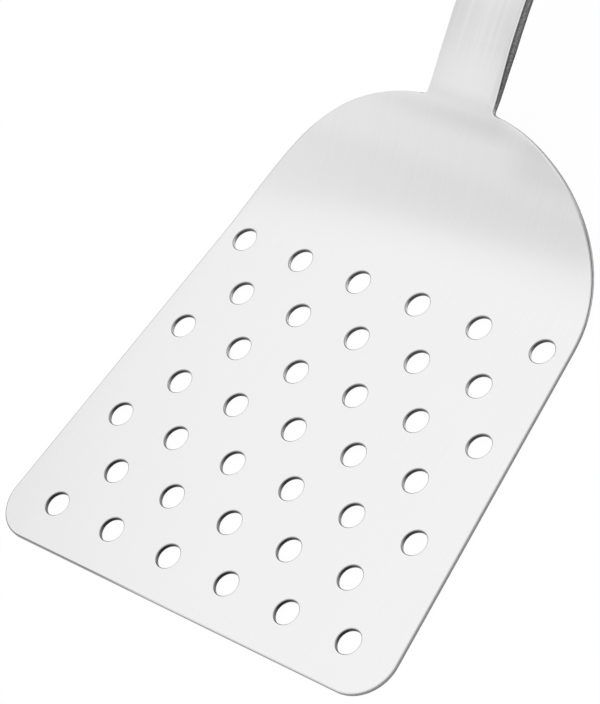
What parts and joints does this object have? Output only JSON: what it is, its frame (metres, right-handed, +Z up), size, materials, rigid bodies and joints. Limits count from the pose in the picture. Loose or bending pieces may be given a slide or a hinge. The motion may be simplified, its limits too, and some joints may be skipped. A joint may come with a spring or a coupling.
{
  "type": "fish spatula",
  "caption": "Wide perforated steel spatula with a cranked shank and a riveted full-tang handle with a hanging hole.",
  "frame": {"origin": "on the blade's flat underside, on the middle line, in the web halfway between the third and the fourth row of holes counted from the front edge", "axes": "+Z up, square to the flat blade; +Y along the blade from the front edge towards the handle; +X across the blade"},
  "size_m": [0.1252, 0.3196, 0.0889],
  "materials": {
    "blade_steel": "fine satin, brushed along the blade",
    "scale_plastic": "fine matt moulded plastic",
    "rivet_steel": "ground flush with the handle"
  },
  "bodies": {
    "root": {"blade_and_tang": "blade_steel", "handle_scale_upper": "scale_plastic", "handle_scale_lower": "scale_plastic", "rivet_post_front": "rivet_steel", "rivet_post_middle": "rivet_steel", "rivet_post_rear": "rivet_steel", "rivet_socket_front": "rivet_steel", "rivet_socket_middle": "rivet_steel", "rivet_socket_rear": "rivet_steel", "lanyard_tube": "rivet_steel"}
  },
  "joints": []
}
